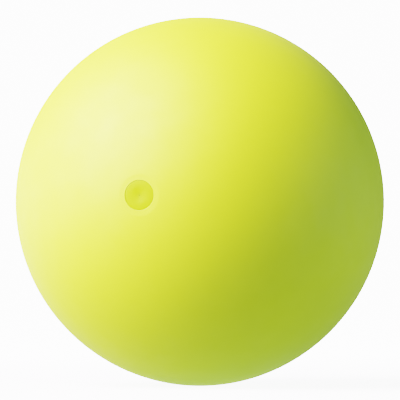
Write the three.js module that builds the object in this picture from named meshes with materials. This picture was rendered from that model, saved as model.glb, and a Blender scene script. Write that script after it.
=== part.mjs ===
// A smooth rubber playground ball, 8.5 inches across, with a pull-out inflation plug. Millimetres.
//
// The ball's centre is the origin, +Z is up and the valve faces the front, along -Y.
// From the outside in, the wall is a rubber cover, a wound nylon layer and a butyl bladder. The valve
// seat is a rubber grommet: its flange lies against the inside of the bladder under a bonded patch,
// and its neck comes out through the wall to carry the head of the plug. Every piece is turned about
// the valve axis, so each one is a profile on a lathe.
import * as THREE from "three";

// The ball and its wall.
const BALL_RADIUS = (8.5 * 25.4) / 2;
const COVER_THICKNESS = 1.4;
const WINDING_THICKNESS = 0.5;
const BLADDER_THICKNESS = 0.8;
const LAYER_GAP = 0.35; // stands for the bond between one layer and the next

// The plug: a dished head, and a stem with a tapered tip and a needle channel down its middle.
const HEAD_RADIUS = 8;
const HEAD_THICKNESS = 1.5;
const HEAD_EDGE = 0.4; // rounding of the head's rim
const FACE_RECESS = 0.15; // from the edge of the cover's opening down to the head's flat ring
const DISH_RADIUS = 5.2;
const DISH_DEPTH = 0.2;
const PINHOLE_RADIUS = 0.2; // through the head, where the rubber nearly closes
const PINHOLE_LENGTH = 2.5;
const CHANNEL_RADIUS = 0.5; // down the stem
const STEM_RADIUS = 4.5;
const STEM_LENGTH = 16.5;
const TIP_RADIUS = 3.2;
const TIP_LENGTH = 2.5;

// The seat, and the patch that bonds its flange to the bladder.
const FIT_GAP = 0.3; // between pieces that touch
const BORE_CLEARANCE = 0.15; // round the stem
const BORE_CHAMFER = 0.6;
const BARREL_RADIUS = 7;
const BARREL_LENGTH = 14.5;
const FLANGE_RADIUS = 16;
const FLANGE_THICKNESS = 1.2;
const PATCH_RADIUS = 24;
const PATCH_THICKNESS = 0.8;
const PATCH_STEP = 2.2; // the width over which the patch drops off the flange onto the bladder

const OPENING_RADIUS = HEAD_RADIUS + FIT_GAP;
const OPENING_LIP = 0.4; // chamfer round the cover's opening
const DIP_DEPTH = 0.2; // how far the skin sinks at the opening
const DIP_WIDTH = 4; // from the opening out to the full sphere

// How finely each surface is faceted: sides round the valve axis, and bands from pole to pole. An odd
// number of bands and a number of sides that divides by four put one facet flat against the ground.
const COVER_FACETS = { sides: 60, bands: 31 };
const INNER_FACETS = { sides: 36, bands: 21 };
const ROUND_STEPS = 3; // chords in a small rounded edge
const DIP_STEPS = 3;
const DISH_STEPS = 4;

// Radii of the surfaces, from the outside in.
const coverInside = BALL_RADIUS - COVER_THICKNESS;
const windingOutside = coverInside - LAYER_GAP;
const bladderOutside = windingOutside - WINDING_THICKNESS - LAYER_GAP;
const bladderInside = bladderOutside - BLADDER_THICKNESS;
const flangeOutside = bladderInside - LAYER_GAP;
const flangeInside = flangeOutside - FLANGE_THICKNESS;
const patchOverFlange = flangeInside - FIT_GAP;

// Heights along the valve axis, from the ball's centre.
const headFace = skinHeight(OPENING_RADIUS) - FACE_RECESS;
const headBack = headFace - HEAD_THICKNESS;
const seatLedge = headBack - FIT_GAP;
const barrelEnd = seatLedge - BARREL_LENGTH;
const stemEnd = headBack - STEM_LENGTH;

function point(fromAxis, height) {
  return new THREE.Vector2(fromAxis, height);
}

// The height at which a sphere about the ball's centre stands, at a distance from the valve axis.
function heightOn(radius, fromAxis) {
  return Math.sqrt(radius * radius - fromAxis * fromAxis);
}

// The angle off the valve axis, seen from the ball's centre, of that same point.
function angleOn(radius, fromAxis) {
  return Math.asin(fromAxis / radius);
}

// A smooth fall from 1 at a share of 0 to 0 at a share of 1 and beyond.
function bell(share) {
  return (1 + Math.cos(Math.PI * Math.min(share, 1))) / 2;
}

// The height of the cover's outside near the valve, where it dips.
function skinHeight(fromAxis) {
  const share = (fromAxis - OPENING_RADIUS) / DIP_WIDTH;
  return heightOn(BALL_RADIUS, fromAxis) - DIP_DEPTH * bell(share);
}

// The height of the head's face, which is a shallow dish with a flat ring round it.
function faceHeight(fromAxis) {
  return headFace - DISH_DEPTH * bell(fromAxis / DISH_RADIUS);
}

// Distances from the axis on the way from one to another, without the first.
function onTheWay(from, to, steps) {
  return Array.from({ length: steps }, (_, k) => from + ((to - from) * (k + 1)) / steps);
}

// Points on a circle about the ball's centre, between two angles off the valve axis. The points
// between the ends lie on the bands' grid, so the facets of nested layers stay parallel.
function arc(radius, from, to, bands) {
  const band = Math.PI / bands;
  const low = Math.min(from, to);
  const high = Math.max(from, to);
  const angles = [low];
  for (let k = Math.ceil(low / band + 0.25); k * band < high - band / 4; k++) {
    angles.push(k * band);
  }
  angles.push(high);
  if (to < from) angles.reverse();
  return angles.map((angle) => point(radius * Math.sin(angle), radius * Math.cos(angle)));
}

// A quarter turn of small radius, from one angle to another, about a centre in the profile.
function rounding(centre, radius, from, to) {
  return Array.from({ length: ROUND_STEPS + 1 }, (_, k) => {
    const angle = from + ((to - from) * k) / ROUND_STEPS;
    return point(centre.x + radius * Math.cos(angle), centre.y + radius * Math.sin(angle));
  });
}

// Turns a profile about the valve axis. The profile runs anticlockwise, with the axis on its left.
function turned(name, profile, sides, material) {
  const geometry = new THREE.LatheGeometry(profile, sides, Math.PI / sides);
  const mesh = new THREE.Mesh(geometry, material);
  mesh.name = name;
  return mesh;
}

function closed(profile) {
  return [...profile, profile[0].clone()];
}

function rubber(colour, roughness) {
  return new THREE.MeshStandardMaterial({ color: colour, roughness, metalness: 0 });
}

// A hollow sphere with a round opening about the valve axis.
function layer(name, outside, thickness, facets, material) {
  const inside = outside - thickness;
  const profile = [
    ...arc(outside, Math.PI, angleOn(outside, OPENING_RADIUS), facets.bands),
    ...arc(inside, angleOn(inside, OPENING_RADIUS), Math.PI, facets.bands),
  ];
  return turned(name, profile, facets.sides, material);
}

// The visible skin. It dips towards its opening, which has a chamfered lip.
function cover() {
  const dipStart = OPENING_RADIUS + DIP_WIDTH;
  const lipStart = OPENING_RADIUS + OPENING_LIP;
  const dip = onTheWay(dipStart, lipStart, DIP_STEPS);
  const profile = [
    ...arc(BALL_RADIUS, Math.PI, angleOn(BALL_RADIUS, dipStart), COVER_FACETS.bands),
    ...dip.map((fromAxis) => point(fromAxis, skinHeight(fromAxis))),
    point(OPENING_RADIUS, skinHeight(OPENING_RADIUS) - OPENING_LIP),
    ...arc(coverInside, angleOn(coverInside, OPENING_RADIUS), Math.PI, COVER_FACETS.bands),
  ];
  return turned("cover", profile, COVER_FACETS.sides, rubber(0xd3df2b, 0.55));
}

function winding() {
  const nylon = new THREE.MeshStandardMaterial({ color: 0xe9e4d2, roughness: 0.8, metalness: 0 });
  return layer("nylon_winding", windingOutside, WINDING_THICKNESS, INNER_FACETS, nylon);
}

function bladder() {
  const butyl = rubber(0x1d1d1f, 0.5);
  return layer("bladder", bladderOutside, BLADDER_THICKNESS, INNER_FACETS, butyl);
}

// A grommet: a ledge for the plug's head, a flange shaped to the ball, and a barrel inside.
function valveSeat() {
  const { sides, bands } = INNER_FACETS;
  const bore = STEM_RADIUS + BORE_CLEARANCE;
  const profile = closed([
    point(bore, barrelEnd),
    point(BARREL_RADIUS, barrelEnd),
    ...arc(
      flangeInside,
      angleOn(flangeInside, BARREL_RADIUS),
      angleOn(flangeInside, FLANGE_RADIUS),
      bands,
    ),
    ...arc(
      flangeOutside,
      angleOn(flangeOutside, FLANGE_RADIUS),
      angleOn(flangeOutside, HEAD_RADIUS),
      bands,
    ),
    point(HEAD_RADIUS, seatLedge),
    point(bore + BORE_CHAMFER, seatLedge),
    point(bore, seatLedge - BORE_CHAMFER),
  ]);
  return turned("valve_seat", profile, sides, rubber(0x2a2a2c, 0.6));
}

// A disc of sheet rubber round the barrel. It lies over the flange, then steps out to the bladder.
function valvePatch() {
  const { sides, bands } = INNER_FACETS;
  const stepStart = FLANGE_RADIUS + FIT_GAP;
  const stepEnd = stepStart + PATCH_STEP;
  const hole = BARREL_RADIUS + FIT_GAP;
  const underFlange = patchOverFlange - PATCH_THICKNESS;
  const underBladder = flangeOutside - PATCH_THICKNESS;
  const profile = closed([
    ...arc(underFlange, angleOn(underFlange, hole), angleOn(underFlange, stepStart), bands),
    ...arc(
      underBladder,
      angleOn(underBladder, stepEnd),
      angleOn(underBladder, PATCH_RADIUS),
      bands,
    ),
    ...arc(
      flangeOutside,
      angleOn(flangeOutside, PATCH_RADIUS),
      angleOn(flangeOutside, stepEnd),
      bands,
    ),
    ...arc(
      patchOverFlange,
      angleOn(patchOverFlange, stepStart),
      angleOn(patchOverFlange, hole),
      bands,
    ),
  ]);
  return turned("valve_patch", profile, sides, rubber(0x232325, 0.7));
}

// The stopper. It fills the cover's opening, and a pump needle goes down its middle.
function valvePlug() {
  const rimCentre = point(HEAD_RADIUS - HEAD_EDGE, headFace - HEAD_EDGE);
  const dish = onTheWay(DISH_RADIUS, PINHOLE_RADIUS, DISH_STEPS);
  const pinholeEnd = headFace - PINHOLE_LENGTH;
  const profile = closed([
    point(CHANNEL_RADIUS, stemEnd),
    point(TIP_RADIUS, stemEnd),
    point(STEM_RADIUS, stemEnd + TIP_LENGTH),
    point(STEM_RADIUS, headBack),
    point(HEAD_RADIUS, headBack),
    ...rounding(rimCentre, HEAD_EDGE, 0, Math.PI / 2),
    point(DISH_RADIUS, headFace),
    ...dish.map((fromAxis) => point(fromAxis, faceHeight(fromAxis))),
    point(PINHOLE_RADIUS, pinholeEnd),
    point(CHANNEL_RADIUS, pinholeEnd - (CHANNEL_RADIUS - PINHOLE_RADIUS)),
  ]);
  return turned("valve_plug", profile, INNER_FACETS.sides, rubber(0xd0dc2e, 0.4));
}

// The lathe turns about +Y, so the whole ball is given half a turn to face the valve to the front.
const ball = new THREE.Group();
ball.rotation.z = Math.PI;
ball.add(cover(), winding(), bladder(), valveSeat(), valvePatch(), valvePlug());

const part = new THREE.Group();
part.add(ball);

export default part;
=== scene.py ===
# A smooth rubber playground ball with a pull-out inflation plug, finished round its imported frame.
#
# Metres, +Z up. Every piece is turned about the valve axis, which is Y, with the valve facing -Y. So
# a piece is drawn as a profile of points, each a distance from the valve axis and a height along it,
# measured from the ball's centre towards the valve.
import math

import bpy
import numpy as np
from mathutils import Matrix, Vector


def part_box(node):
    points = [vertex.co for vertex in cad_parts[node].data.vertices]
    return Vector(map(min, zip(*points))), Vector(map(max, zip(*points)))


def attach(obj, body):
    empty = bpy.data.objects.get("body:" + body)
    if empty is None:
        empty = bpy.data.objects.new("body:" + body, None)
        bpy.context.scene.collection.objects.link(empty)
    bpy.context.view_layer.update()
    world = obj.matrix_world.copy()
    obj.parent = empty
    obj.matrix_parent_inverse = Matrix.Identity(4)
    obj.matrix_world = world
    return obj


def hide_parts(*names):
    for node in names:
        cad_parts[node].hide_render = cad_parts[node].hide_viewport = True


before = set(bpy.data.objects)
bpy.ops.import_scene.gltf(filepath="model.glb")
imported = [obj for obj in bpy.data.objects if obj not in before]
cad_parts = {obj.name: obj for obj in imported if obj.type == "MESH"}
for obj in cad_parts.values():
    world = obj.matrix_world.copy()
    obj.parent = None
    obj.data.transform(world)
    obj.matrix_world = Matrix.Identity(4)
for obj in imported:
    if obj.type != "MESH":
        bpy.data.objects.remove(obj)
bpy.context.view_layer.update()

MM = 0.001


def reach(node):
    """How far a CAD node stands out from the valve axis."""
    return max(math.hypot(v.co.x, v.co.z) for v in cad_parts[node].data.vertices)


def heights(node):
    """The lowest and highest place of a CAD node along the valve axis."""
    low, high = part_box(node)
    return -high.y, -low.y


# ---- Sizes that the frame gives ----
BALL_RADIUS = -heights("cover")[0]
WINDING_RADIUS = -heights("nylon_winding")[0]
BLADDER_RADIUS = -heights("bladder")[0]
STEM_END, HEAD_FACE = heights("valve_plug")
BARREL_END, SEAT_LEDGE = heights("valve_seat")
HEAD_RADIUS = reach("valve_plug")
FLANGE_RADIUS = reach("valve_seat")
PATCH_RADIUS = reach("valve_patch")

# ---- The walls ----
COVER_THICKNESS = 1.4 * MM
WINDING_THICKNESS = 0.5 * MM
BLADDER_THICKNESS = 0.8 * MM
LAYER_GAP = 0.35 * MM
FIT_GAP = 0.3 * MM
OPENING_RADIUS = HEAD_RADIUS + FIT_GAP
DIP_DEPTH = 0.2 * MM  # how far the skin sinks at the opening
DIP_WIDTH = 4 * MM

# ---- The plug ----
SQUEEZE_GAP = 0.05 * MM  # the soft head swells to this much short of the rubber round it
DISH_RADIUS = 5.2 * MM
DISH_DEPTH = 0.2 * MM
PINHOLE_RADIUS = 0.15 * MM
PINHOLE_MOUTH = 0.2 * MM
PINHOLE_LENGTH = 2.5 * MM
CHANNEL_RADIUS = 0.5 * MM
STEM_RADIUS = 4.5 * MM
TIP_RADIUS = 3.2 * MM
TIP_LENGTH = 2.5 * MM
TIP_ROUNDING = 2 * MM
FLASH_HEIGHT = 0.05 * MM  # of the mould's parting line, down both sides of the stem

# ---- The seat, and the patch over its flange ----
BORE_CLEARANCE = 0.15 * MM
BORE_RADIUS = STEM_RADIUS + BORE_CLEARANCE
BORE_CHAMFER = 0.6 * MM
GRIP_RINGS = 3
GRIP_PITCH = 3 * MM
GRIP_HALF = 0.8 * MM
GRIP_HEIGHT = 0.08 * MM
BARREL_RADIUS = 7 * MM
FLANGE_THICKNESS = 1.2 * MM
PATCH_THICKNESS = 0.8 * MM
PATCH_STEP = 2.2 * MM

# ---- The winding, the bladder's mould line and the patch's weave ----
WINDING_RUNS = 12  # directions that the thread is wound in
WINDING_REACH = 0.5 * WINDING_RADIUS  # how far the bands of a run stray from its great circle
GOLDEN = (math.sqrt(5) - 1) / 2
RUN_SHIFT = 0.37  # of a band's height in the pile, from one run to the next
BAND_WIDTH = 3 * MM  # of a few threads laid side by side
THREAD_PITCH = 0.6 * MM
PILE_HEIGHT = 1.0 * MM  # from the lowest band to the highest, if nothing filled the gaps between them
PILE_FILL = 0.3 * MM  # how deep the gaps are once the latex has filled them
BAND_RELIEF = 0.5 * MM  # what the material adds, because the mesh can't show a band's crisp edges
MOULD_LINE_HALF = 1.2 * MM
MOULD_LINE_HEIGHT = 0.15 * MM
WEAVE_SCALE = 0.35 / MM  # of the patch's wave textures, which gives a thread every 0.9 mm

# ---- Roundings, and how finely the meshes are divided ----
CRISP = 0.2 * MM
SOFT = 0.4 * MM
FULL = 0.8 * MM
CORNER_ROOM = 1 * MM  # left between a rounded corner and the first point of a curved face
TINY = 0.001 * MM  # two places closer than this count as one
COVER_SIDES = 240
WINDING_SIDES = 360
BLADDER_SIDES = 160
VALVE_SIDES = 96
ARC_STEP = math.radians(1.5)  # between the rings of a spherical wall
WINDING_STEP = math.radians(1)
INSIDE_STEP = math.radians(3)
CORNER_STEPS = 6
DIP_STEPS = 10
DISH_STEPS = 12


# ---- Profiles ----
def height_on(radius, from_axis):
    """The height of a sphere about the ball's centre, at a distance from the valve axis."""
    return math.sqrt(radius * radius - from_axis * from_axis)


def angle_on(radius, from_axis):
    """The angle off the valve axis of that same point, seen from the ball's centre."""
    return math.asin(from_axis / radius)


def bell(share):
    """A smooth fall from 1 at a share of 0 to 0 at a share of 1 and beyond."""
    return (1 + math.cos(math.pi * min(share, 1))) / 2


def skin_height(from_axis):
    """The height of the cover's outside near the valve, where it dips."""
    share = (from_axis - OPENING_RADIUS) / DIP_WIDTH
    return height_on(BALL_RADIUS, from_axis) - DIP_DEPTH * bell(share)


def face_height(from_axis):
    """The height of the plug's face, which is a shallow dish with a flat ring round it."""
    return HEAD_FACE - DISH_DEPTH * bell(from_axis / DISH_RADIUS)


def on_the_way(start, end, steps):
    """Distances on the way from one to another, without the first."""
    return [start + (end - start) * (k + 1) / steps for k in range(steps)]


def arc(radius, start, end, step=ARC_STEP):
    """Corners along a circle about the ball's centre, between two angles off the valve axis."""
    count = max(2, math.ceil(abs(end - start) / step))
    angles = [start, *on_the_way(start, end, count)]
    return [(max(radius * math.sin(a), 0.0), radius * math.cos(a), 0.0) for a in angles]


def stretch(radius, start, end):
    """The same, between two distances from the valve axis on the valve's side."""
    return arc(radius, angle_on(radius, start), angle_on(radius, end))


def turn_corner(before, corner, after, rounding):
    """The points of an arc that takes the place of a corner between two straight runs."""
    to_before = (Vector(before) - Vector(corner)).normalized()
    to_after = (Vector(after) - Vector(corner)).normalized()
    opening = to_before.angle(to_after)
    run = rounding / math.tan(opening / 2)
    middle = (to_before + to_after).normalized()
    centre = Vector(corner) + middle * rounding / math.sin(opening / 2)
    first = Vector(corner) + to_before * run - centre
    last = Vector(corner) + to_after * run - centre
    turn = math.atan2(first.cross(last), first.dot(last))
    points = []
    for k in range(CORNER_STEPS + 1):
        a = turn * k / CORNER_STEPS
        x = first.x * math.cos(a) - first.y * math.sin(a)
        y = first.x * math.sin(a) + first.y * math.cos(a)
        points.append((centre.x + x, centre.y + y))
    return points


def outline(corners, loop=True):
    """A profile through (distance from axis, height, rounding) corners."""
    points = []
    for k, (x, y, rounding) in enumerate(corners):
        inner = loop or 0 < k < len(corners) - 1
        if rounding and inner:
            before = corners[k - 1][:2]
            after = corners[(k + 1) % len(corners)][:2]
            points += turn_corner(before, (x, y), after, rounding)
        else:
            points.append((x, y))
    return points


# ---- Meshes ----
def coordinates(mesh):
    """The places of a mesh's points, in rows of three."""
    points = np.empty(len(mesh.vertices) * 3)
    mesh.vertices.foreach_get("co", points)
    return points.reshape(-1, 3)


def reshape(mesh, points):
    """Moves a mesh's points to new places."""
    mesh.vertices.foreach_set("co", points.ravel())
    mesh.update()


def signed_volume(mesh):
    """The volume of a closed mesh, which is negative if its faces point inwards."""
    mesh.calc_loop_triangles()
    corners = np.empty(len(mesh.loop_triangles) * 3, np.int32)
    mesh.loop_triangles.foreach_get("vertices", corners)
    points = coordinates(mesh)[corners].reshape(-1, 3, 3)
    return np.einsum("ij,ij->", points[:, 0], np.cross(points[:, 1], points[:, 2])) / 6


def turned(name, profile, sides, loop=True):
    """A smooth closed mesh, made by turning a profile about the valve axis. The profile is a loop, or
    else it starts and ends on the axis."""
    verts, rings = [], []
    for from_axis, height in profile:
        count = sides if from_axis > TINY else 1
        rings.append(range(len(verts), len(verts) + count))
        for k in range(count):
            a = 2 * math.pi * k / sides
            verts.append((from_axis * math.cos(a), -height, from_axis * math.sin(a)))
    faces = []
    following = rings[1:] + rings[:1] if loop else rings[1:]
    for ring, other in zip(rings, following):
        for k in range(sides):
            n = (k + 1) % sides
            if len(ring) == 1:
                faces.append((ring[0], other[k], other[n]))
            elif len(other) == 1:
                faces.append((ring[k], other[0], ring[n]))
            else:
                faces.append((ring[k], other[k], other[n], ring[n]))
    mesh = bpy.data.meshes.new(name)
    mesh.from_pydata(verts, [], faces)
    if signed_volume(mesh) < 0:
        mesh.flip_normals()
    mesh.shade_smooth()
    return mesh


def shell(name, outer, edge_height, inside, sides, lip):
    """A hollow sphere with a round opening, whose outside runs from the back pole to the opening."""
    corners = [
        *outer,
        (OPENING_RADIUS, edge_height, lip),
        (OPENING_RADIUS, height_on(inside, OPENING_RADIUS), lip / 2),
        *arc(inside, angle_on(inside, OPENING_RADIUS + 4 * lip), math.pi, INSIDE_STEP),
    ]
    return turned(name, outline(corners, loop=False), sides, loop=False)


def cover_mesh():
    """The skin, which dips towards the valve."""
    lip = 0.25 * MM
    dip_start = OPENING_RADIUS + DIP_WIDTH
    dip = on_the_way(dip_start, OPENING_RADIUS + 2 * lip, DIP_STEPS)
    outer = [
        *arc(BALL_RADIUS, math.pi, angle_on(BALL_RADIUS, dip_start)),
        *[(from_axis, skin_height(from_axis), 0.0) for from_axis in dip],
    ]
    inside = BALL_RADIUS - COVER_THICKNESS
    edge_height = skin_height(OPENING_RADIUS)
    return shell("ball_cover", outer, edge_height, inside, COVER_SIDES, lip)


def winding_mesh():
    """The wound layer, whose thread is piled up in crossing bands."""
    lip = 0.1 * MM
    edge = angle_on(WINDING_RADIUS, OPENING_RADIUS + 3 * lip)
    outer = arc(WINDING_RADIUS, math.pi, edge, WINDING_STEP)
    inside = WINDING_RADIUS - WINDING_THICKNESS
    edge_height = height_on(WINDING_RADIUS, OPENING_RADIUS)
    mesh = shell("nylon_thread_winding", outer, edge_height, inside, WINDING_SIDES, lip)
    lay_bands(mesh)
    return mesh


def run_pole(k):
    """The axis that one run of thread goes round. The axes fan out evenly over a half sphere."""
    z = 1 - (k + 0.5) / WINDING_RUNS
    out = math.sqrt(1 - z * z)
    turn = math.tau * GOLDEN * k
    return out * math.cos(turn), out * math.sin(turn), z


def pile_at(points):
    """The height of the highest band at each point, as a share of the pile. A band's height steps
    round by the golden ratio from that of the band beside it, so they look random."""
    pile = np.zeros(len(points))
    for k in range(WINDING_RUNS):
        off_line = points @ np.array(run_pole(k))
        height = (np.floor(off_line / BAND_WIDTH) * GOLDEN + k * RUN_SHIFT) % 1
        in_reach = np.abs(off_line) < WINDING_REACH
        pile = np.maximum(pile, height * in_reach)
    return pile


def lay_bands(mesh):
    """Sinks the outside between the higher bands. The pile is averaged over a small patch round each
    point, because a band is only a few faces wide."""
    points = coordinates(mesh)
    offsets = [-BAND_WIDTH / 3, 0, BAND_WIDTH / 3]
    patch = [np.array((x, y, z)) for x in offsets for y in offsets for z in offsets]
    pile = sum(pile_at(points + offset) for offset in patch) / len(patch)
    from_centre = np.linalg.norm(points, axis=1)
    outside = from_centre > WINDING_RADIUS - WINDING_THICKNESS / 2
    sunk = np.minimum((1 - pile) * PILE_HEIGHT, PILE_FILL) * outside
    reshape(mesh, points * (1 - sunk / from_centre)[:, None])


def bladder_mesh():
    """The air bladder, with the line that its two-part mould leaves round the middle."""
    lip = 0.15 * MM
    seam = MOULD_LINE_HALF / BLADDER_RADIUS
    middle = math.pi / 2
    outer = [
        *arc(BLADDER_RADIUS, math.pi, middle + seam),
        *arc(BLADDER_RADIUS + MOULD_LINE_HEIGHT, middle + seam / 3, middle - seam / 3),
        *arc(BLADDER_RADIUS, middle - seam, angle_on(BLADDER_RADIUS, OPENING_RADIUS + 3 * lip)),
    ]
    inside = BLADDER_RADIUS - BLADDER_THICKNESS
    edge_height = height_on(BLADDER_RADIUS, OPENING_RADIUS)
    return shell("inner_bladder", outer, edge_height, inside, BLADDER_SIDES, lip)


def grip_rings():
    """Low rings round the seat's bore, from the top down, which hold the plug's stem."""
    middle = (BARREL_END + SEAT_LEDGE) / 2
    corners = []
    for k in range(GRIP_RINGS):
        height = middle + GRIP_PITCH * ((GRIP_RINGS - 1) / 2 - k)
        corners += [
            (BORE_RADIUS, height + GRIP_HALF, SOFT),
            (BORE_RADIUS - GRIP_HEIGHT, height, SOFT),
            (BORE_RADIUS, height - GRIP_HALF, SOFT),
        ]
    return corners


def seat_mesh():
    """The grommet: a barrel, a flange shaped to the ball, and a ledge for the plug's head."""
    outside = BLADDER_RADIUS - BLADDER_THICKNESS - LAYER_GAP
    inside = outside - FLANGE_THICKNESS
    rim = FLANGE_RADIUS - CORNER_ROOM
    corners = [
        (BORE_RADIUS, BARREL_END, SOFT),
        (BARREL_RADIUS, BARREL_END, FULL),
        (BARREL_RADIUS, height_on(inside, BARREL_RADIUS), CRISP),
        *stretch(inside, BARREL_RADIUS + CORNER_ROOM, rim),
        (FLANGE_RADIUS, height_on(inside, FLANGE_RADIUS), SOFT),
        (FLANGE_RADIUS, height_on(outside, FLANGE_RADIUS), SOFT),
        *stretch(outside, rim, HEAD_RADIUS + CORNER_ROOM),
        (HEAD_RADIUS, height_on(outside, HEAD_RADIUS), CRISP),
        (HEAD_RADIUS, SEAT_LEDGE, CRISP),
        (BORE_RADIUS + BORE_CHAMFER, SEAT_LEDGE, CRISP),
        (BORE_RADIUS, SEAT_LEDGE - BORE_CHAMFER, SOFT),
        *grip_rings(),
    ]
    return turned("valve_seat_grommet", outline(corners), VALVE_SIDES)


def patch_face(on_bladder, on_flange):
    """One face of the patch, from its hole to its rim, with its step down off the flange."""
    hole = BARREL_RADIUS + FIT_GAP
    step_start = FLANGE_RADIUS + FIT_GAP
    step_end = step_start + PATCH_STEP
    return [
        (hole, height_on(on_flange, hole), CRISP),
        *stretch(on_flange, hole + CORNER_ROOM, step_start - CORNER_ROOM),
        (step_start, height_on(on_flange, step_start), FULL),
        (step_end, height_on(on_bladder, step_end), FULL),
        *stretch(on_bladder, step_end + CORNER_ROOM, PATCH_RADIUS - CORNER_ROOM),
        (PATCH_RADIUS, height_on(on_bladder, PATCH_RADIUS), CRISP),
    ]


def patch_mesh():
    """The disc of sheet rubber that bonds the seat's flange to the bladder."""
    on_bladder = BLADDER_RADIUS - BLADDER_THICKNESS - LAYER_GAP
    on_flange = on_bladder - FLANGE_THICKNESS - FIT_GAP
    underside = patch_face(on_bladder - PATCH_THICKNESS, on_flange - PATCH_THICKNESS)
    topside = patch_face(on_bladder, on_flange)
    return turned("valve_patch_disc", outline(underside + topside[::-1]), VALVE_SIDES)


def plug_mesh():
    """The stopper: a dished head with a pinhole, and a stem with a tapered tip and a needle channel."""
    head_radius = OPENING_RADIUS - SQUEEZE_GAP
    head_back = SEAT_LEDGE + SQUEEZE_GAP
    pinhole_end = HEAD_FACE - PINHOLE_LENGTH
    dish = on_the_way(DISH_RADIUS, PINHOLE_RADIUS + 2 * PINHOLE_MOUTH, DISH_STEPS)
    corners = [
        (CHANNEL_RADIUS, STEM_END, CRISP),
        (TIP_RADIUS, STEM_END, FULL),
        (STEM_RADIUS, STEM_END + TIP_LENGTH, TIP_ROUNDING),
        (STEM_RADIUS, head_back, SOFT),
        (head_radius, head_back, CRISP),
        (head_radius, HEAD_FACE, CRISP),
        (DISH_RADIUS, HEAD_FACE, 0.0),
        *[(from_axis, face_height(from_axis), 0.0) for from_axis in dish],
        (PINHOLE_RADIUS, face_height(PINHOLE_RADIUS), PINHOLE_MOUTH),
        (PINHOLE_RADIUS, pinhole_end, 0.0),
        (CHANNEL_RADIUS, pinhole_end - (CHANNEL_RADIUS - PINHOLE_RADIUS), 0.0),
    ]
    mesh = turned("valve_plug_stopper", outline(corners), VALVE_SIDES)
    raise_flash(mesh)
    return mesh


def raise_flash(mesh):
    """Raises the mould's parting line down both sides of the stem."""
    points = coordinates(mesh)
    from_axis = np.hypot(points[:, 0], points[:, 2])
    on_line = (np.abs(points[:, 2]) < TINY) & (np.abs(from_axis - STEM_RADIUS) < TINY)
    points[on_line, 0] *= 1 + FLASH_HEIGHT / STEM_RADIUS
    reshape(mesh, points)


# ---- Materials ----
WHITE = (1.0, 1.0, 1.0, 1.0)
DUST = (0.42, 0.40, 0.35, 1.0)
COVER_PIGMENT = (0.463, 0.587, 0.0012)
PLUG_PIGMENT = (0.290, 0.384, 0.0033)
# a darker copy of the plug's pigment: a little soil, and painted shade at the centre of the dish
PLUG_SOIL_AND_SHADE = (0.20, 0.25, 0.008, 1.0)
BUTYL = (0.013, 0.013, 0.014, 1.0)
SEAT_BLACK = (0.016, 0.016, 0.017, 1.0)
SEAT_SCUFFED = (0.045, 0.045, 0.047, 1.0)
PATCH_BLACK = (0.018, 0.018, 0.019, 1.0)
NYLON = (0.76, 0.715, 0.585)
LATEX = (0.60, 0.50, 0.30, 1.0)


def scaled(colour, scale):
    """An opaque colour, darker or paler than the one given."""
    return (*(part * scale for part in colour), 1.0)


class Graph:
    """A node tree. Most of its methods add a node and give back that node's output."""

    def __init__(self, owner):
        owner.use_nodes = True
        self.nodes = owner.node_tree.nodes
        self.links = owner.node_tree.links

    def feed(self, socket, value):
        """Gives an input a fixed value, or the output of another node."""
        if isinstance(value, bpy.types.NodeSocket):
            self.links.new(value, socket)
        else:
            socket.default_value = value

    def node(self, kind, output, *operands, **values):
        """Any node. Operands are its inputs in order. Of the values, the ones whose names start in
        lower case are settings, and the others are inputs, named with _ for a space."""
        node = self.nodes.new("ShaderNode" + kind)
        for name, value in values.items():
            if name[0].islower():
                setattr(node, name, value)
            else:
                self.feed(node.inputs[name.replace("_", " ")], value)
        for socket, value in zip(node.inputs, operands):
            self.feed(socket, value)
        return node.outputs[output]

    def position(self):
        """The place of the point being shaded, from the piece's own origin."""
        return self.node("TexCoord", "Object")

    def noise(self, size, detail):
        """A cloudy pattern, from 0 to 1, whose blotches are about size across."""
        return self.node("TexNoise", "Fac", Vector=self.position(), Scale=1 / size, Detail=detail)

    def remap(self, value, low, high, start=0.3, end=0.7, kind="LINEAR"):
        """Carries value's run from start to end over to low to high, and stops there."""
        ends = {"From_Min": start, "From_Max": end, "To_Min": low, "To_Max": high}
        return self.node("MapRange", "Result", interpolation_type=kind, Value=value, **ends)

    def maths(self, operation, *operands):
        return self.node("Math", "Value", *operands, operation=operation)

    def times(self, vector, factors):
        """A vector with each of its parts multiplied."""
        return self.node("VectorMath", "Vector", vector, factors, operation="MULTIPLY")

    def mix(self, first, second, factor):
        """A colour between two."""
        return self.node("MixRGB", "Color", factor, first, second)

    def tones(self, colour, spread, factor):
        """A colour from a little darker to a little paler than the one given."""
        return self.mix(scaled(colour, 1 - spread), scaled(colour, 1 + spread), factor)

    def choose(self, first, second, switch):
        """The second value where the switch is 1, and the first where it is 0."""
        return self.node("Mix", "Result", data_type="FLOAT", Factor=switch, A=first, B=second)

    def random(self, seed):
        """A number from 0 to 1 that is different for every seed."""
        return self.node("TexWhiteNoise", "Value", noise_dimensions="1D", W=seed)

    def bump(self, height, depth, under=None):
        """Relief of a real depth in metres, over any relief already made."""
        relief = self.node("Bump", "Normal", Height=height, Distance=depth)
        if under is not None:
            self.feed(relief.node.inputs["Normal"], under)
        return relief

    def length(self, vector):
        return self.node("VectorMath", "Value", vector, operation="LENGTH")

    def off_axis(self):
        """The distance from the valve axis."""
        return self.length(self.times(self.position(), (1, 0, 1)))

    def near(self, distance, width):
        """1 at a distance from the valve axis, falling to 0 over a width on both sides."""
        away = self.maths("ABSOLUTE", self.maths("SUBTRACT", self.off_axis(), distance))
        return self.remap(away, 1, 0, 0, width)

    def seen(self):
        """1 for what the camera sees directly, and 0 for light that bounces."""
        return self.node("LightPath", "Is Camera Ray")


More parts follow.
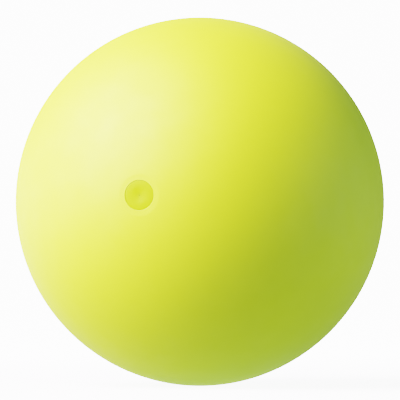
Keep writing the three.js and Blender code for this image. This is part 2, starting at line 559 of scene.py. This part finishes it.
class Recipe(Graph):
    """The node material of one piece."""

    def __init__(self, name):
        self.material = bpy.data.materials.new(name)
        super().__init__(self.material)

    def finish(self, **inputs):
        """Sets the surface's inputs, whose names are written with _ for a space."""
        surface = self.nodes["Principled BSDF"]
        for name, value in inputs.items():
            self.feed(surface.inputs[name.replace("_", " ")], value)
        return self.material


def cover_rubber():
    """Matt pigmented rubber, with a fine grain and faint clouds, and a trace of dirt in the groove
    round the plug."""
    m = Recipe("matt_cover_rubber")
    cloud = m.remap(m.noise(45 * MM, 3), 0, 1)
    pigment = m.tones(COVER_PIGMENT, 0.017, cloud)
    dirt = m.maths("MULTIPLY", m.near(OPENING_RADIUS, 0.5 * MM), m.remap(m.noise(2 * MM, 4), 0, 0.12))
    grain = m.bump(m.noise(0.5 * MM, 3), 0.01 * MM)
    swell = m.bump(m.noise(9 * MM, 2), 0.02 * MM, grain)
    return m.finish(
        Base_Color=m.mix(pigment, DUST, dirt),
        Roughness=m.remap(m.noise(14 * MM, 4), 0.7, 0.76),
        Specular_IOR_Level=0.81,
        Sheen_Weight=0.028,
        Sheen_Roughness=0.5,
        Coat_Weight=0.154,
        Coat_Roughness=0.6,
        Normal=swell,
    )


def plug_rubber():
    """The same pigment in a softer, smoother rubber, darker where the pump needle goes in: soil and
    painted shade.
    """
    m = Recipe("soft_plug_rubber")
    pigment = m.tones(PLUG_PIGMENT, 0.025, m.noise(3 * MM, 3))
    # painted shade at the dish's centre, a darker copy of the pigment, over a little real soil from the
    # needle
    soil_and_painted_shade = m.maths("MULTIPLY", m.near(0, 2 * MM), m.remap(m.noise(0.9 * MM, 4), 0, 0.6))
    relief = m.bump(m.noise(0.3 * MM, 2), 0.006 * MM)
    return m.finish(
        Base_Color=m.mix(pigment, PLUG_SOIL_AND_SHADE, soil_and_painted_shade),
        Roughness=m.remap(m.noise(1.5 * MM, 3), 0.4, 0.5),
        Specular_IOR_Level=0.35,
        Normal=relief,
    )


def dusty(m, black, amount, size):
    """Black rubber under a film of talc, which lies in patches."""
    patches = m.remap(m.noise(size, 5), 0, amount, 0.4, 0.7)
    return m.mix(black, DUST, patches)


def butyl():
    """Smooth moulded bladder rubber, still dusted with the mould's talc."""
    m = Recipe("talced_butyl")
    ripple = m.bump(m.noise(5 * MM, 2), 0.08 * MM)
    return m.finish(
        Base_Color=dusty(m, BUTYL, 0.12, 18 * MM),
        Roughness=m.remap(m.noise(7 * MM, 4), 0.35, 0.6),
        Normal=m.bump(m.noise(0.6 * MM, 3), 0.01 * MM, ripple),
    )


def seat_rubber():
    """Satin moulded rubber, polished on the ledge where the plug's head rubs."""
    m = Recipe("moulded_seat_rubber")
    rubbed = m.near((BORE_RADIUS + HEAD_RADIUS) / 2, 2 * MM)
    scuffs = m.maths("MULTIPLY", rubbed, m.remap(m.noise(0.8 * MM, 5), 0.3, 1))
    black = m.mix(SEAT_BLACK, SEAT_SCUFFED, scuffs)
    return m.finish(
        Base_Color=dusty(m, black, 0.08, 4 * MM),
        Roughness=m.remap(scuffs, 0.62, 0.4, 0, 1),
        Normal=m.bump(m.noise(0.4 * MM, 3), 0.015 * MM),
    )


def patch_rubber():
    """Matt calendered sheet, which keeps the weave of the liner it was rolled in."""
    m = Recipe("sheet_patch_rubber")
    weave = None
    for along in ((1, 0, 0), (0, 0, 1)):
        across = m.times(m.position(), along)
        thread = m.node("TexWave", "Fac", Vector=across, Scale=WEAVE_SCALE)
        weave = m.bump(thread, 0.03 * MM, weave)
    return m.finish(
        Base_Color=dusty(m, PATCH_BLACK, 0.1, 6 * MM),
        Roughness=m.remap(m.noise(3 * MM, 4), 0.6, 0.75),
        Normal=weave,
    )


def nylon_thread():
    """Natural thread under a thin coat of latex. It follows the same bands as the mesh, in fine detail:
    at each point the strands of the highest band show."""
    m = Recipe("latexed_nylon")
    where = m.position()
    pile = 0.0
    strand = 0.0
    for k in range(WINDING_RUNS):
        off_line = m.node("VectorMath", "Value", where, run_pole(k), operation="DOT_PRODUCT")
        band = m.maths("FLOOR", m.maths("DIVIDE", off_line, BAND_WIDTH))
        in_reach = m.maths("LESS_THAN", m.maths("ABSOLUTE", off_line), WINDING_REACH)
        steps_up = m.maths("MULTIPLY_ADD", band, GOLDEN, k * RUN_SHIFT)
        height = m.maths("MULTIPLY", m.maths("FLOORED_MODULO", steps_up, 1), in_reach)
        on_top = m.maths("GREATER_THAN", height, pile)
        strand = m.choose(strand, m.maths("DIVIDE", off_line, THREAD_PITCH), on_top)
        pile = m.maths("MAXIMUM", pile, height)
    roundness = m.maths("PINGPONG", strand, 0.5)
    edges = m.maths("MULTIPLY", pile, BAND_RELIEF)
    relief = m.maths("MULTIPLY_ADD", roundness, THREAD_PITCH, edges)
    nylon = m.tones(NYLON, 0.13, m.random(m.maths("FLOOR", strand)))
    latex = m.remap(m.noise(12 * MM, 4), 0, 0.5)
    return m.finish(
        Base_Color=m.mix(nylon, LATEX, latex),
        Roughness=m.remap(latex, 0.75, 0.5, 0, 0.5),
        Sheen_Weight=0.15,
        Normal=m.bump(relief, 1.0),  # the relief is in metres already
    )


# ---- The pieces ----
def place(mesh, node, body, material):
    """Puts a finished mesh on its body, in place of the CAD node it stands for."""
    piece = bpy.data.objects.new(mesh.name, mesh)
    bpy.context.scene.collection.objects.link(piece)
    mesh.materials.append(material)
    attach(piece, body)
    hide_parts(node)


def build():
    place(cover_mesh(), "cover", "ball", cover_rubber())
    place(winding_mesh(), "nylon_winding", "ball", nylon_thread())
    place(bladder_mesh(), "bladder", "ball", butyl())
    place(seat_mesh(), "valve_seat", "ball", seat_rubber())
    place(patch_mesh(), "valve_patch", "ball", patch_rubber())
    place(plug_mesh(), "valve_plug", "plug", plug_rubber())


# ---- The studio ----
VIEW_AZIMUTH = 18.1  # degrees round from the valve
VIEW_ELEVATION = -2.0
VIEW_DISTANCE = 1.6
LENS = 245.4  # mm, on Blender's 36 mm sensor
SHIFT_RIGHT = 0.0004  # of the frame's width
SHIFT_UP = 0.0041
VIEW_LIMIT = 50.0
LAMP_DISTANCE = 1.19
WARM = (1.165, 1.0, 1.18)
COOL = (0.868, 1.0, 1.49)
TABLE_TINT = (0.868, 1.0, 1.26)
ZENITH = 0.26  # how bright the room is overhead
HORIZON = 0.057
TABLE_HALF = 6.0  # half its width
TABLE_GREY = (0.1, 0.1, 0.1, 1.0)  # to the ball
TABLE_PALE = (0.8, 0.8, 0.8, 1.0)  # to the camera
TABLE_GLOW = 0.41
TABLE_CENTRE_GLOW = 0.83
TABLE_CENTRE = 0.119  # from under the ball out to where its glow is even
TABLE_WHITE = 1.0  # from under the ball out to where it is as white as the background
BACKGROUND = 6.0  # bright enough to be seen as white


def towards(azimuth, elevation):
    """A unit vector from the ball, with azimuth measured round from the valve's side, -Y."""
    a = math.radians(azimuth)
    e = math.radians(elevation)
    return Vector((math.sin(a) * math.cos(e), -math.cos(a) * math.cos(e), math.sin(e)))


def aim(thing, direction, distance):
    """Stands a camera or lamp off the ball and turns it to face the centre."""
    thing.location = direction * distance
    thing.rotation_mode = "QUATERNION"
    thing.rotation_quaternion = direction.to_track_quat("Z", "Y")


def camera():
    data = bpy.data.cameras.new("camera")
    data.lens = LENS
    data.shift_x = SHIFT_RIGHT
    data.shift_y = SHIFT_UP
    data.clip_end = VIEW_LIMIT
    eye = bpy.data.objects.new("camera", data)
    bpy.context.scene.collection.objects.link(eye)
    aim(eye, towards(VIEW_AZIMUTH, VIEW_ELEVATION), VIEW_DISTANCE)
    bpy.context.scene.camera = eye


def softbox(name, side, elevation, width, height, radiance, colour):
    """A soft rectangular light. Side is degrees round from the camera, positive to its right."""
    data = bpy.data.lights.new(name, "AREA")
    data.shape = "RECTANGLE"
    data.size = width
    data.size_y = height
    data.energy = radiance * math.pi * width * height
    data.color = colour
    lamp = bpy.data.objects.new(name, data)
    bpy.context.scene.collection.objects.link(lamp)
    aim(lamp, towards(VIEW_AZIMUTH + side, elevation), LAMP_DISTANCE)


def floor():
    """A light table: pale to look at, with a glow that keeps the ball's underside bright."""
    half = TABLE_HALF
    corners = [(-half, -half, 0), (half, -half, 0), (half, half, 0), (-half, half, 0)]
    mesh = bpy.data.meshes.new("light_table")
    mesh.from_pydata(corners, [], [(0, 1, 2, 3)])
    m = Recipe("lit_white_glass")
    away = m.length(m.position())
    glow = m.remap(away, TABLE_CENTRE_GLOW, TABLE_GLOW, 0, TABLE_CENTRE, "SMOOTHSTEP")
    white = m.remap(away, BACKGROUND / 2, BACKGROUND, 0, TABLE_WHITE, "SMOOTHSTEP")
    unseen = m.maths("MULTIPLY", glow, m.remap(m.seen(), 1, 0, 0, 1))
    m.finish(
        Base_Color=m.mix(TABLE_GREY, TABLE_PALE, m.seen()),
        Roughness=0.8,
        Emission_Color=m.mix((*TABLE_TINT, 1), WHITE, m.seen()),
        Emission_Strength=m.maths("ADD", unseen, m.maths("MULTIPLY", white, m.seen())),
    )
    mesh.materials.append(m.material)
    table = bpy.data.objects.new("light_table", mesh)
    table.location.z = -BALL_RADIUS
    bpy.context.scene.collection.objects.link(table)


def room():
    """White to the camera, and to the ball a cool light from above that fades towards the horizon."""
    world = bpy.data.worlds.new("studio")
    g = Graph(world)
    upward = g.node("SeparateXYZ", "Z", Vector=g.node("TexCoord", "Generated"))
    light = g.remap(upward, HORIZON, ZENITH, 0, 1)
    sky = g.nodes["Background"]
    g.feed(sky.inputs["Color"], g.mix((*COOL, 1), WHITE, g.seen()))
    g.feed(sky.inputs["Strength"], g.maths("MAXIMUM", light, g.maths("MULTIPLY", g.seen(), BACKGROUND)))
    bpy.context.scene.world = world


def studio():
    look = bpy.context.scene.view_settings
    look.view_transform = "Filmic"
    look.look = "Very High Contrast"
    camera()
    softbox("key_softbox", side=-59.5, elevation=38, width=0.92, height=0.87, radiance=21.2, colour=WARM)
    softbox("left_strip", side=-96, elevation=0, width=2.2, height=0.44, radiance=6.6, colour=WARM)
    softbox("fill_softbox", side=83, elevation=2, width=1.1, height=0.82, radiance=2.2, colour=COOL)
    floor()
    room()


build()
studio()
